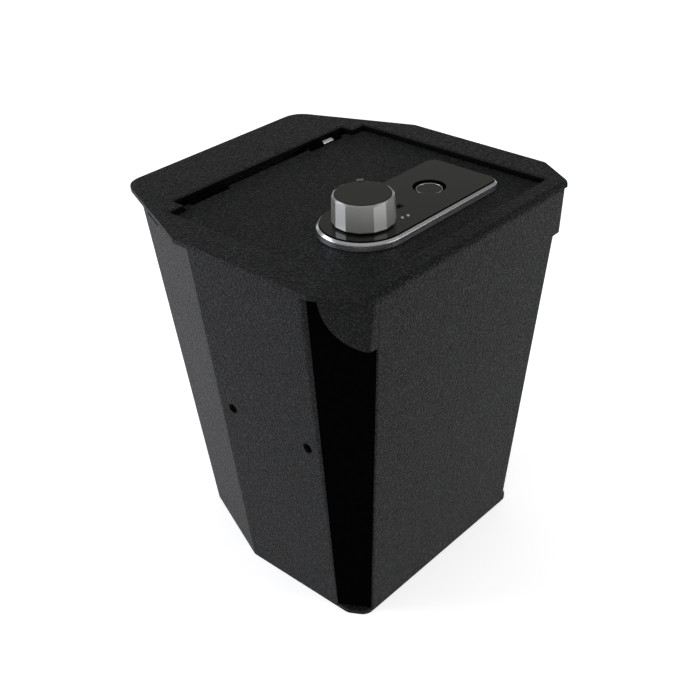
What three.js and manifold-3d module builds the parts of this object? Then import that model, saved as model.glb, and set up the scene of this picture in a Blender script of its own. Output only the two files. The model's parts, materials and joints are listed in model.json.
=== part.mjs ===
// Console safe: a tapered eight-sided steel box that drops into a vehicle console and hangs on its
// flange. The recessed lid carries a knob lock with a fingerprint reader. Millimetres, +Z up, the
// origin on the floor under the middle of the flange, the hinge on the +Y side, the knob at -X.

import * as THREE from 'three';
import { mergeVertices } from 'three/addons/utils/BufferGeometryUtils.js';
import Module from 'manifold-3d';

const wasm = await Module();
wasm.setup();

// Clearances
const GAP = 0.3; // between pieces that touch
const SLIDE_GAP = 0.5; // round pieces that move past each other

// Body
const HEIGHT = 249; // floor to the flange's top face
const SHEET = 3; // steel sheet of the body and lid
const DRAFT = 0.0945; // how far each wall leans in per millimetre of depth
const FLANGE_HALF_WIDTH = 108.5;
const FLANGE_HALF_DEPTH = 108;
const REAR_CHAMFER_ANGLE = 22; // degrees of a chamfer's normal from the X axis
const FRONT_CHAMFER_ANGLE = 30.3;
const REAR_CHAMFER_CUT = 30.66; // flange's square corner to its chamfered edge
const FRONT_CHAMFER_CUT = 14.37;
const SIDE_OVERHANG = 2; // flange edge beyond the wall at the top
const BACK_OVERHANG = 4.5;
const REAR_CHAMFER_OVERHANG = 5.1;
const FRONT_CHAMFER_OVERHANG = 6.1;
const FLANGE_REAR_RADIUS = 14;
const FLANGE_SIDE_RADIUS = 7;
const FLANGE_FRONT_RADIUS = 6;
const WALL_BEND = 5; // outer radius where the walls fold
const FRONT_EDGE_RADIUS = 1.5; // front wall's upright edges
const EDGE_RADIUS = 0.5; // inner corners
const FRONT_BEND = 4; // top plate folding down into the front wall
const SEAM_RETURN = 3.6; // side wall past its front bend, up to the corner post, at the flange
const SEAM_TAPER = 0.0133; // how much narrower that return gets per millimetre of depth
const FRONT_RETURN = 1; // front wall past its upright edge, up to the corner post
const EAR_WIDTH = 30.5; // tabs of the front wall that hang over the front chamfers
const EAR_DROP = 30.8;
const SKIN = 0.05; // keeps the faces of joined shapes off one another
const EAR_ROOT = 6; // tab's overlap with the front wall
const BASE_TAB_REACH = 4.4; // base plate's rounded corners, out past the corner posts
const BASE_TAB_RADIUS = 8;

// Holes in the walls
const WALL_HOLE_RADIUS = 3.5;
const WALL_HOLE_DROP = 115.3; // below the flange's top
const WALL_HOLE_SETBACK = 80.7; // middle of the two holes behind the flange's front
const WALL_HOLE_SPACING = 63.4;
const CABLE_SLOT_LENGTH = 21;
const CABLE_SLOT_HEIGHT = 4.5;
const CABLE_SLOT_DROP = 14.5;
const CABLE_SLOT_ALONG = 24; // from the middle of the rear chamfer towards the back

// Opening in the top plate, and the lid that fills it
const RIM_SIDE = 21.5; // flange's edge to the opening
const RIM_FRONT = 13.8;
const RIM_BACK = 54;
const NOTCH_INSET = 11.5; // stretch behind the opening, where the hinges turn
const NOTCH_DEPTH = 9.8;
const OPENING_ROLL = 2; // width over which the flange's top rolls off towards the opening
const OPENING_ROLL_DROP = 0.35;
const LID_CLEARANCE = 1.3;
const LID_BACK_SETBACK = 1.2; // lid's rear edge in front of the hinge axis
const LID_RADIUS = 2;

// Hinges
const PIVOT_INSET = 4; // hinge axis in front of the notch's back
const PIVOT_DROP = 4; // below the flange's top
const KNUCKLE_RADIUS = 3.5;
const PIN_RADIUS = 2;
const PIN_BORE_CLEARANCE = 0.1;
const HINGE_INSET = 8.5; // hinge's outer end inside the notch
const FIXED_KNUCKLE_LENGTH = 5.2;
const LID_KNUCKLE_LENGTH = 7;
const BARE_PIN_LENGTH = 11.6;
const LEAF_THICKNESS = 2.3;
const LID_LEAF_LENGTH = 24;
const BODY_LEAF_LENGTH = 16;
const KNUCKLE_SIDE_GAP = 0.5;

// Seat that the lid rests on, and the strike
const PAD_THICKNESS = 1.5;
const PAD_WIDTH = 5;
const PAD_LENGTH = 14;
const SEAT_THICKNESS = 2.5;
const SEAT_INSIDE = 8; // ledge inside the opening's edge
const SEAT_OUTSIDE = 5.5; // ledge behind the opening's edge
const SEAT_BEHIND = 7.7; // ledge behind the notch
const SEAT_HINGE_MARGIN = 1.5;
const STRIKE_WINDOW_MARGIN = 3.5; // beside a bolt
const STRIKE_MARGIN = 8.5; // beyond a bolt's window
const STRIKE_HEIGHT = 16;
const STRIKE_STAND_OFF = 3.5; // behind the ledge's inner edge
const PAD_INSET = 16; // rear pads' middle from the ledge's inner corners

// Lock on top of the lid
const KNOB_FROM_SIDE = 57.8; // knob's axis from the opening's left side
const LOCK_SETBACK = 45.7; // behind the opening's front
const FACE_RADIUS = 25.5; // round end of the face, also half its width
const FACE_RIGHT = 65.4;
const FACE_CORNER = 6;
const FACE_THICKNESS = 3.2;
const BEZEL_HEIGHT = 4.5;
const BEZEL_LIP = 0.35;
const BEZEL_BEVEL = 1.25;
const BEZEL_DRAFT = 0.6; // how far its side leans out
const BEZEL_LEDGE = 4;
const FACE_PROUD = 0.8;

// Knob
const KNOB_SIDES = 14;
const KNOB_RADIUS = 18.6;
const KNOB_TOP_RADIUS = 18;
const KNOB_HEIGHT = 16.6;
const KNOB_LIFT = 0.6; // off the face
const KNOB_BEVEL = 1;
const KNOB_BEVEL_HEIGHT = 0.8;
const KNOB_FOOT = 0.8; // bevel of the facets' lower edge
const CAP_RIM = 0.1; // least flat between the bevel and the cap's seat
const CAP_PROUD = 0.3; // cap's top above the knob's
const KNOB_WALL = 3.5;
const KNOB_HOLLOW = 11;
const KNOB_HUB_RADIUS = 7;
const CAP_THICKNESS = 1.2;
const INDEX_ANGLE = 47; // degrees, where the pip on the rim stands, over a facet's middle
const INDEX_LENGTH = 4;
const INDEX_WIDTH = 0.7;
const INDEX_RISE = 1.1; // above the knob's top

// Fingerprint reader, socket and lamps on the face
const READER_X = 30.5;
const READER_RADIUS = 8.55;
const READER_RING = 0.7;
const READER_DROP = 1.2; // ring below the face's top
const READER_DISH = 1.7; // how far the recess over the ring slopes out
const SOCKET_PLACE = [27.4, -3.2]; // from the knob's axis
const SOCKET_LENGTH = 5;
const SOCKET_WIDTH = 4.4;
const SOCKET_WALL = 0.5;
const LAMP_RADIUS = 0.9;
const LAMP_PLACES = [[16.8, -14.5], [21, -15.3]]; // from the knob's axis

// Lock works under the lid
const CHASSIS_THICKNESS = 2;
const CARRIAGE_THICKNESS = 3;
const BOLT_TRAVEL_SHARE = Math.PI / 2; // radians the knob turns
const RACK_MODULE = 1;
const PINION_TEETH = 12;
const PRESSURE_ANGLE = 25;
const BACKLASH = 0.35;
const TOOTH_TIP = 0.8; // addendum, in modules
const TOOTH_ROOT = 1; // dedendum, in modules
const SPINDLE_RADIUS = 3;
const BUSH_WALL = 2;
const BUSH_FLANGE = 1.8;
const BOLT_INSET = 23; // bolt's middle inside the tail's outer edge
const BOLT_WIDTH = 20;
const BOLT_DEPTH = 8.7;
const BOLT_LENGTH = 27;
const BOLT_SETBACK = 10.2; // retracted, behind the opening's front
const BOLT_LEAD = 1.5; // slope on the tip
const WINDOW_MARGIN = 1; // round a bolt where it passes a plate
const CROSSBAR_WIDTH = 9;
const TAIL_LENGTH = 26;
const TAIL_CLEARANCE = 1.5; // to the cover's inside
const TAIL_LEFT_WIDTH = 11;
const TAIL_RIGHT_WIDTH = 14;
const STUD_RADIUS = 2.5;
const STUD_HEAD_RADIUS = 3.8;
const STUD_HEAD = 1.7;
const STUD_INSET = 4.5; // from a tail's outer edge
const STUD_SETBACK = 1.5; // behind the knob's axis
const PLUNGER_RADIUS = 2;
const PLUNGER_TRAVEL = 3.5;
const PLUNGER_LENGTH = 11.5;
const PLUNGER_SIDE_GAP = 2; // to the left tail
const PLUNGER_SETBACK = 2.5; // behind the knob's axis
const STOP_LENGTH = 3.4; // tooth of the left tail that the plunger stops
const STOP_WIDTH = 7;
const SOLENOID_WIDTH = 11;
const SOLENOID_DEPTH = 14;

// Cover, batteries and board
const COVER_WALL = 1.5;
const COVER_SIDE_GAP = 15; // to the ledge's inner edge
const COVER_SETBACK = 14.7; // behind the opening's front
const COVER_LENGTH = 62;
const COVER_DEPTH = 30.7;
const TAB_LENGTH = 10;
const TAB_WIDTH = 12;
const SCREW_RADIUS = 1.7;
const SCREW_HEAD_RADIUS = 3;
const SCREW_HEAD = 2.2;
const CELL_RADIUS = 5.2;
const CELL_LENGTH = 44.5;
const CELL_NUB_RADIUS = 1.9;
const CELL_NUB = 1;
const CELL_COUNT = 4;
const CELL_PITCH = 11;
const TRAY_WALL = 1.5;
const TRAY_X = 26; // middle of the tray
const TRAY_SETBACK = 30.5; // middle of the tray behind the cover's front
const DOOR_THICKNESS = 1.7;
const DOOR_MARGIN = 3;
const RAIL_WIDTH = 2.7;
const RAIL_LIP = 1.5;
const BOARD_THICKNESS = 1.6;
const BOARD_WIDTH = 40;
const BOARD_LENGTH = 29;
const BOARD_POST = 3.3;
// Each block's place on the board, its width, its length and how high it stands
const BOARD_BLOCKS = [[4, 5, 9, 9, 1.6], [18, 4, 6, 12, 1.6], [29, 21, 7, 5, 3.2]];
const RIB_END_GAP = 9; // to the ledge's inner edge
const RIB_WIDTH = 16;
const RIB_DEPTH = 9;
const RIB_WALL = 2;
const MAT_THICKNESS = 4;

const ARC_STEPS = 5; // facets in a folded corner
const ROUND_SIDES = 32;

const radians = THREE.MathUtils.degToRad;

// Levels, from the flange's top down
const plateBottom = HEIGHT - SHEET;
const lidTop = plateBottom;
const lidBottom = lidTop - SHEET;
const underLid = lidBottom - GAP;
const padBottom = underLid - PAD_THICKNESS;
const seatTop = padBottom - GAP;
const seatBottom = seatTop - SEAT_THICKNESS;
const pivotZ = HEIGHT - PIVOT_DROP;
const chassisBottom = underLid - CHASSIS_THICKNESS;
const carriageTop = chassisBottom - SLIDE_GAP - GAP;
const carriageBottom = carriageTop - CARRIAGE_THICKNESS;
const boltTop = carriageBottom - GAP;
const boltBottom = boltTop - BOLT_DEPTH;
const coverBottom = underLid - COVER_DEPTH;
const coverFloor = coverBottom + COVER_WALL;
const bezelBottom = lidTop + GAP;
const faceTop = bezelBottom + BEZEL_HEIGHT + FACE_PROUD;
const faceBottom = faceTop - FACE_THICKNESS;
const readerTop = faceTop - READER_DROP;
const readerPadRadius = READER_RADIUS - 2 * GAP - READER_RING;
const knobBottom = faceTop + KNOB_LIFT;
const knobTop = knobBottom + KNOB_HEIGHT;
const capSeat = (KNOB_TOP_RADIUS - KNOB_BEVEL) * Math.cos(Math.PI / KNOB_SIDES) - CAP_RIM;

// Places along X and Y, from the opening's edges
const openingHalfWidth = FLANGE_HALF_WIDTH - RIM_SIDE;
const openingFront = -FLANGE_HALF_DEPTH + RIM_FRONT;
const openingBack = FLANGE_HALF_DEPTH - RIM_BACK;
const notchHalfWidth = openingHalfWidth - NOTCH_INSET;
const notchBack = openingBack + NOTCH_DEPTH;
const pivotY = notchBack - PIVOT_INSET;
const lidBack = pivotY - LID_BACK_SETBACK;
const seatInnerX = openingHalfWidth - SEAT_INSIDE;
const seatOuterX = openingHalfWidth + SEAT_OUTSIDE;
const seatInnerFront = openingFront + SEAT_INSIDE;
const seatOuterFront = openingFront - SEAT_OUTSIDE;
const seatInnerBack = openingBack - SEAT_INSIDE;
const seatBack = notchBack + SEAT_BEHIND;
const hingeLength = 2 * FIXED_KNUCKLE_LENGTH + LID_KNUCKLE_LENGTH + BARE_PIN_LENGTH + KNUCKLE_SIDE_GAP;
const hingeOuterX = notchHalfWidth - HINGE_INSET;
const hingeInnerX = hingeOuterX - hingeLength;
const lockX = KNOB_FROM_SIDE - openingHalfWidth;
const lockY = openingFront + LOCK_SETBACK;
const pitchRadius = (RACK_MODULE * PINION_TEETH) / 2;
const boltTravel = pitchRadius * BOLT_TRAVEL_SHARE;
const boltTip = openingFront + BOLT_SETBACK;
const studY = lockY + STUD_SETBACK;
const coverFront = openingFront + COVER_SETBACK;
const coverBack = coverFront + COVER_LENGTH;
const coverHalfWidth = seatInnerX - COVER_SIDE_GAP;
const tailOuter = coverHalfWidth - COVER_WALL - TAIL_CLEARANCE;
const boltX = tailOuter - BOLT_INSET;
const plungerX = -tailOuter + TAIL_LEFT_WIDTH + PLUNGER_SIDE_GAP + PLUNGER_RADIUS;
const plungerY = lockY + PLUNGER_SETBACK;
const trayY = coverFront + TRAY_SETBACK;
const socketX = lockX + SOCKET_PLACE[0];
const socketY = lockY + SOCKET_PLACE[1];
const ribMiddle = (coverBack + pivotY - LID_LEAF_LENGTH) / 2; // between the cover and the hinge leaves

// Materials, as they look
function finish(color, roughness, metalness) {
  return new THREE.MeshStandardMaterial({ color, roughness, metalness });
}
const texturedBlack = finish(0x17181a, 0.6, 0.1);
const smoothBlack = finish(0x050506, 0.45, 0.1);
const zincSteel = finish(0xa9adb0, 0.4, 0.9);
const pinSteel = finish(0xd5d7da, 0.25, 1);
const satinSilver = finish(0xc9cbce, 0.3, 1);
const knobChrome = finish(0xd9dadd, 0.15, 1);
const glossBlack = finish(0x0c0c0d, 0.1, 0);
const mattBlack = finish(0x1b1b1c, 0.7, 0);
const brassYellow = finish(0xc2a14d, 0.35, 1);
const boardGreen = finish(0x1f5a3a, 0.6, 0);
const feltGrey = finish(0x2b2b2d, 0.95, 0);
const rubberBlack = finish(0x141414, 0.9, 0);
const cellBlue = finish(0x30557f, 0.4, 0.3);
const lampWhite = finish(0xe6e6e0, 0.3, 0);

// Solids: three.js geometry in, joined and cut by manifold
function solid(geometry) {
  const bare = geometry.clone();
  for (const name of Object.keys(bare.attributes)) {
    if (name !== 'position') bare.deleteAttribute(name);
  }
  const merged = mergeVertices(bare, 1e-5);
  return new wasm.Manifold(new wasm.Mesh({
    numProp: 3,
    vertProperties: new Float32Array(merged.attributes.position.array),
    triVerts: new Uint32Array(merged.index.array),
  }));
}

function geometryOf(body) {
  const mesh = body.getMesh();
  const geometry = new THREE.BufferGeometry();
  geometry.setAttribute('position', new THREE.BufferAttribute(mesh.vertProperties, 3));
  geometry.setIndex(new THREE.BufferAttribute(mesh.triVerts, 1));
  geometry.computeVertexNormals();
  return geometry;
}

function box(x0, x1, y0, y1, z0, z1) {
  const geometry = new THREE.BoxGeometry(x1 - x0, y1 - y0, z1 - z0);
  geometry.translate((x0 + x1) / 2, (y0 + y1) / 2, (z0 + z1) / 2);
  return solid(geometry);
}

function cylinder(radius, x, y, z0, z1, sides = ROUND_SIDES) {
  const geometry = new THREE.CylinderGeometry(radius, radius, z1 - z0, sides);
  geometry.rotateX(Math.PI / 2);
  geometry.translate(x, y, (z0 + z1) / 2);
  return solid(geometry);
}

// A round bar along X
function crossRod(radius, x0, x1, y, z) {
  const geometry = new THREE.CylinderGeometry(radius, radius, x1 - x0, ROUND_SIDES);
  geometry.rotateZ(Math.PI / 2);
  geometry.translate((x0 + x1) / 2, y, z);
  return solid(geometry);
}

function prism(points, z0, z1) {
  const shape = new THREE.Shape(points.map(([x, y]) => new THREE.Vector2(x, y)));
  const geometry = new THREE.ExtrudeGeometry(shape, { depth: z1 - z0, bevelEnabled: false });
  geometry.translate(0, 0, z0);
  return solid(geometry);
}

// A closed solid between two outlines with the same number of points
function loft(lower, z0, upper, z1) {
  const count = lower.length;
  const contour = lower.map(([x, y]) => new THREE.Vector2(x, y));
  const caps = THREE.ShapeUtils.triangulateShape(contour, []);
  const positions = [];
  lower.forEach(([x, y]) => positions.push(x, y, z0));
  upper.forEach(([x, y]) => positions.push(x, y, z1));
  const index = [];
  for (const [a, b, c] of caps) {
    index.push(c, b, a, a + count, b + count, c + count);
  }
  for (let i = 0; i < count; i += 1) {
    const next = (i + 1) % count;
    index.push(i, next, next + count, i, next + count, i + count);
  }
  const geometry = new THREE.BufferGeometry();
  geometry.setAttribute('position', new THREE.Float32BufferAttribute(positions, 3));
  geometry.setIndex(index);
  return solid(geometry);
}

// Rounds each corner of a counter-clockwise outline with an arc
function roundCorners(points, radii) {
  const rounded = [];
  points.forEach((point, i) => {
    const radius = Array.isArray(radii) ? radii[i] : radii;
    const corner = new THREE.Vector2(...point);
    const before = new THREE.Vector2(...points[(i + points.length - 1) % points.length]);
    const after = new THREE.Vector2(...points[(i + 1) % points.length]);
    const back = before.sub(corner).normalize();
    const ahead = after.sub(corner).normalize();
    const half = Math.acos(THREE.MathUtils.clamp(back.dot(ahead), -1, 1)) / 2;
    const inward = back.clone().add(ahead).normalize();
    const centre = corner.clone().addScaledVector(inward, radius / Math.sin(half));
    const start = corner.clone().addScaledVector(back, radius / Math.tan(half)).sub(centre);
    const end = corner.clone().addScaledVector(ahead, radius / Math.tan(half)).sub(centre);
    let turn = end.angle() - start.angle();
    if (turn > Math.PI) turn -= 2 * Math.PI;
    if (turn < -Math.PI) turn += 2 * Math.PI;
    for (let step = 0; step <= ARC_STEPS; step += 1) {
      const angle = start.angle() + (turn * step) / ARC_STEPS;
      rounded.push([centre.x + radius * Math.cos(angle), centre.y + radius * Math.sin(angle)]);
    }
  });
  return rounded;
}

const mirrored = (body) => body.mirror([1, 0, 0]);

// The eight faces round the body, counter-clockwise from +X
function chamferReach(degrees, cut) {
  const angle = radians(degrees);
  return FLANGE_HALF_WIDTH * Math.cos(angle) + FLANGE_HALF_DEPTH * Math.sin(angle) - cut;
}

const REACH = {
  side: FLANGE_HALF_WIDTH,
  rear: chamferReach(REAR_CHAMFER_ANGLE, REAR_CHAMFER_CUT),
  back: FLANGE_HALF_DEPTH,
  corner: chamferReach(FRONT_CHAMFER_ANGLE, FRONT_CHAMFER_CUT),
  front: FLANGE_HALF_DEPTH,
};
const OVERHANG = {
  side: SIDE_OVERHANG,
  rear: REAR_CHAMFER_OVERHANG,
  back: BACK_OVERHANG,
  corner: FRONT_CHAMFER_OVERHANG,
  front: 0,
};
const FACES = [
  ['side', 0],
  ['rear', REAR_CHAMFER_ANGLE],
  ['back', 90],
  ['rear', 180 - REAR_CHAMFER_ANGLE],
  ['side', 180],
  ['corner', 180 + FRONT_CHAMFER_ANGLE],
  ['front', 270],
  ['corner', 360 - FRONT_CHAMFER_ANGLE],
];

function octagon(reachOf) {
  return FACES.map(([name, angle], i) => {
    const [nextName, nextAngle] = FACES[(i + 1) % FACES.length];
    const [a, b] = [radians(angle), radians(nextAngle)];
    const [p, q] = [reachOf(name), reachOf(nextName)];
    const scale = Math.sin(b - a);
    return [(p * Math.sin(b) - q * Math.sin(a)) / scale, (q * Math.cos(a) - p * Math.cos(b)) / scale];
  });
}

function wallReach(name, z) {
  return REACH[name] - OVERHANG[name] - DRAFT * (HEIGHT - z);
}

// Solid of the walls' outer faces, moved out by grow[name] on each kind of face
function wallSolid(z0, z1, grow, radii) {
  const at = (z) => roundCorners(octagon((name) => wallReach(name, z) + (grow[name] ?? grow.all)), radii);
  return loft(at(z0), z0, at(z1), z1);
}

const folded = [WALL_BEND, WALL_BEND, WALL_BEND, WALL_BEND, WALL_BEND, FRONT_EDGE_RADIUS,
  FRONT_EDGE_RADIUS, WALL_BEND];
const foldedInside = folded.map((radius) => Math.max(radius - SHEET, EDGE_RADIUS));
const BELOW = -20;
const ABOVE = knobTop + 20;
const FAR = 400;

function wallShell(z0, z1) {
  const inside = wallSolid(BELOW, ABOVE, { all: -SHEET }, foldedInside);
  return wallSolid(z0, z1, { all: 0 }, folded).subtract(inside);
}

// Everything in front of the front wall's inner face, moved in by depth
function frontZone(depth) {
  const at = (z) => {
    const y = -wallReach('front', z) + depth;
    return [[-FAR, -FAR], [FAR, -FAR], [FAR, y], [-FAR, y]];
  };
  return loft(at(BELOW), BELOW, at(ABOVE), ABOVE);
}

// Everything in front of a line across each front chamfer. The line lies reach(z) in front of the
// octagon's given corner, measured along the chamfer.
function chamferZone(corner, reach) {
  const angle = radians(360 - FRONT_CHAMFER_ANGLE);
  const normal = [Math.cos(angle), Math.sin(angle)];
  const deep = 12;
  const at = (z) => {
    const [x, y] = octagon((name) => wallReach(name, z))[corner];
    const lineX = x + normal[1] * reach(z);
    const lineY = y - normal[0] * reach(z);
    const outer = [lineX + normal[0] * deep, lineY + normal[1] * deep];
    const inner = [lineX - normal[0] * deep, lineY - normal[1] * deep];
    return [[-FAR, -FAR], [FAR, -FAR], outer, inner, [-inner[0], inner[1]], [-outer[0], outer[1]]];
  };
  return loft(at(BELOW), BELOW, at(ABOVE), ABOVE);
}

// Everything in front of the two seams between side wall and corner post
function seamZone(shift) {
  return chamferZone(7, (z) => SEAM_RETURN - SEAM_TAPER * (HEIGHT - z) + shift);
}

// What the front wall's sheet takes up: its whole thickness behind the tabs, and below them no more
// than a short return
function sheetZone(shift) {
  const behindTabs = box(-FAR, FAR, -FAR, FAR, plateBottom - EAR_DROP - shift, ABOVE);
  const below = chamferZone(6, () => -FRONT_RETURN - shift);
  return frontZone(SHEET + shift).intersect(below.add(behindTabs));
}

function openingOutline(grow) {
  const side = openingHalfWidth + grow;
  const notch = notchHalfWidth + grow;
  const front = openingFront - grow;
  const back = openingBack + grow;
  const deep = notchBack + grow;
  return [[-side, front], [side, front], [side, back], [notch, back], [notch, deep],
    [-notch, deep], [-notch, back], [-side, back]];
}

// Outside of the fold between top plate and front wall
function foldWaste() {
  const slope = Math.hypot(1, DRAFT);
  const centreZ = HEIGHT - FRONT_BEND;
  const centreY = -(wallReach('front', centreZ) - FRONT_BEND * slope);
  const points = [];
  const lowest = Math.PI + Math.atan(DRAFT);
  for (let step = 0; step <= ARC_STEPS; step += 1) {
    const angle = lowest + ((Math.PI / 2 - lowest) * step) / ARC_STEPS;
    points.push([centreY + FRONT_BEND * Math.cos(angle), centreZ + FRONT_BEND * Math.sin(angle)]);
  }
  const top = ABOVE;
  const outline = [...points, [points.at(-1)[0], top], [-FAR, top], [-FAR, points[0][1]]];
  const shape = new THREE.Shape(outline.map(([y, z]) => new THREE.Vector2(y, z)));
  const geometry = new THREE.ExtrudeGeometry(shape, { depth: 2 * FAR, bevelEnabled: false });
  geometry.applyMatrix4(new THREE.Matrix4().makeBasis(
    new THREE.Vector3(0, 1, 0), new THREE.Vector3(0, 0, 1), new THREE.Vector3(1, 0, 0)));
  geometry.translate(-FAR, 0, 0);
  return solid(geometry);
}

// Side view of a tab: full height on the front wall, a quarter ellipse on the chamfer
function earZone() {
  const angle = radians(360 - FRONT_CHAMFER_ANGLE);
  const normal = new THREE.Vector3(Math.cos(angle), Math.sin(angle), 0);
  const along = new THREE.Vector3(-normal.y, normal.x, 0);
  const grown = octagon((name) => wallReach(name, plateBottom) + (name === 'corner' ? SHEET + GAP : 0));
  const [cornerX, cornerY] = grown[6];
  const lower = plateBottom - EAR_DROP;
  const shape = new THREE.Shape();
  shape.moveTo(-EAR_ROOT, lower);
  shape.lineTo(0, lower);
  const steps = 3 * ARC_STEPS;
  for (let step = 1; step <= steps; step += 1) {
    const turn = ((Math.PI / 2) * step) / steps;
    shape.lineTo(EAR_WIDTH * Math.sin(turn), plateBottom - EAR_DROP * Math.cos(turn));
  }
  shape.lineTo(EAR_WIDTH, HEIGHT - GAP);
  shape.lineTo(-EAR_ROOT, HEIGHT - GAP);
  const geometry = new THREE.ExtrudeGeometry(shape, { depth: 2 * EAR_WIDTH, bevelEnabled: false });
  geometry.translate(0, 0, -EAR_WIDTH);
  geometry.applyMatrix4(new THREE.Matrix4().makeBasis(along, new THREE.Vector3(0, 0, 1), normal)
    .setPosition(cornerX, cornerY, 0));
  return solid(geometry);
}

// Inside the walls' outer faces, but with upright front chamfers that stand off the walls' top
function tabSolid(z1, stand, grow, radius) {
  const upright = wallReach('corner', plateBottom) + stand;
  const reachAt = (name, z) => (name === 'corner' ? upright : wallReach(name, z) + (grow[name] ?? grow.all));
  const at = (z) => roundCorners(octagon((name) => reachAt(name, z)), folded.map(() => radius));
  const z0 = plateBottom - 2 * EAR_DROP;
  return loft(at(z0), z0, at(z1), z1);
}

// Top plate, front wall and the two tabs: one folded sheet
function topShell() {
  const flangeRadii = [FLANGE_SIDE_RADIUS, FLANGE_REAR_RADIUS, FLANGE_REAR_RADIUS, FLANGE_SIDE_RADIUS,
    FLANGE_SIDE_RADIUS, FLANGE_FRONT_RADIUS, FLANGE_FRONT_RADIUS, FLANGE_SIDE_RADIUS];
  const plate = prism(roundCorners(octagon((name) => REACH[name]), flangeRadii), plateBottom, HEIGHT);
  const wall = wallSolid(0, HEIGHT - GAP, { all: 0 }, folded).intersect(sheetZone(0));
  const earOutside = tabSolid(HEIGHT - GAP, SHEET + GAP, { all: 0, front: -SKIN }, SHEET);
  const earInside = tabSolid(ABOVE, GAP, { all: -SHEET - SKIN }, EDGE_RADIUS);
  const ear = earOutside.subtract(earInside).intersect(earZone());
  const roll = loft(openingOutline(0), HEIGHT - OPENING_ROLL_DROP, openingOutline(2 * OPENING_ROLL),
    HEIGHT + OPENING_ROLL_DROP);
  return plate
    .add(wall)
    .add(ear)
    .add(mirrored(ear))
    .subtract(foldWaste())
    .subtract(prism(roundCorners(openingOutline(0), LID_RADIUS / 2), seatBottom, ABOVE))
    .subtract(roll);
}

// Side walls, rear chamfers and back: one folded sheet
function wrapShell() {
  const holeZ = HEIGHT - WALL_HOLE_DROP;
  let shell = wallShell(0, plateBottom - GAP).subtract(seamZone(0));
  for (const place of [-1, 1]) {
    const y = WALL_HOLE_SETBACK - FLANGE_HALF_DEPTH + (place * WALL_HOLE_SPACING) / 2;
    shell = shell.subtract(crossRod(WALL_HOLE_RADIUS, -FAR, FAR, y, holeZ));
  }
  return shell.subtract(cableSlot());
}

function cableSlot() {
  const z = HEIGHT - CABLE_SLOT_DROP;
  const angle = radians(180 - REAR_CHAMFER_ANGLE);
  const geometry = new THREE.BoxGeometry(6 * SHEET, CABLE_SLOT_LENGTH, CABLE_SLOT_HEIGHT);
  geometry.translate(wallReach('rear', z), -CABLE_SLOT_ALONG, 0);
  geometry.rotateZ(angle);
  const outline = octagon((name) => wallReach(name, z));
  const middleX = (outline[2][0] + outline[3][0]) / 2;
  const middleY = (outline[2][1] + outline[3][1]) / 2;
  const foot = wallReach('rear', z);
  geometry.translate(middleX - foot * Math.cos(angle), middleY - foot * Math.sin(angle), z);
  return solid(geometry);
}

// The strip that closes a front chamfer
function cornerPost() {
  const bottom = SHEET + GAP;
  const right = box(0, FAR, -FAR, FAR, BELOW, ABOVE);
  return wallShell(bottom, plateBottom - GAP)
    .intersect(seamZone(GAP))
    .subtract(sheetZone(GAP))
    .intersect(right);
}

function basePlate() {
  const inside = octagon((name) => wallReach(name, 0) - SHEET - GAP);
  const past = { corner: BASE_TAB_REACH, side: 0, front: 0 };
  const tabs = octagon((name) => wallReach(name, 0) + (past[name] ?? -SHEET - GAP));
  const tabZone = seamZone(GAP).subtract(sheetZone(GAP));
  const walls = wallSolid(BELOW, ABOVE, { all: GAP }, folded).subtract(tabZone);
  return prism(roundCorners(inside, SHEET), 0, SHEET)
    .add(prism(roundCorners(tabs, BASE_TAB_RADIUS), 0, SHEET).subtract(walls));
}

function floorMat() {
  const bottom = SHEET + GAP;
  const grow = { all: -SHEET - 1 };
  return wallSolid(bottom, bottom + MAT_THICKNESS, grow, folded);
}

// Ledge hung under the top plate round the opening
function lidSeat() {
  const webTop = plateBottom - GAP;
  const ledge = box(-seatOuterX, seatOuterX, seatOuterFront, seatBack, seatBottom, webTop)
    .subtract(box(-seatOuterX + SEAT_THICKNESS, seatOuterX - SEAT_THICKNESS,
      seatOuterFront + SEAT_THICKNESS, seatBack - SEAT_THICKNESS, seatTop, ABOVE))
    .subtract(box(-seatInnerX, seatInnerX, seatInnerFront, seatInnerBack, BELOW, ABOVE));
  const reach = hingeOuterX + SEAT_HINGE_MARGIN;
  const start = hingeInnerX - SEAT_HINGE_MARGIN;
  const notch = box(start, reach, 0, notchBack + SEAT_HINGE_MARGIN, BELOW, ABOVE);
  const webNotch = box(start, reach, 0, FAR, seatTop, ABOVE);
  const clear = wallSolid(BELOW, ABOVE, { all: -SHEET - GAP }, folded);
  return ledge
    .subtract(notch)
    .subtract(mirrored(notch))
    .subtract(webNotch)
    .subtract(mirrored(webNotch))
    .intersect(clear);
}

function boltWindow(margin) {
  const half = BOLT_WIDTH / 2 + margin;
  return [boltX - half, boltX + half];
}

function strikePlate() {
  const top = seatBottom - GAP;
  const back = seatInnerFront - STRIKE_STAND_OFF;
  const [x0, x1] = boltWindow(STRIKE_WINDOW_MARGIN);
  const end = x1 + STRIKE_MARGIN;
  const plate = box(-end, end, back - SHEET, back, top - STRIKE_HEIGHT, top);
  const window = box(x0, x1, -FAR, 0, boltBottom - WINDOW_MARGIN, ABOVE);
  return plate.subtract(window).subtract(mirrored(window));
}

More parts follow.
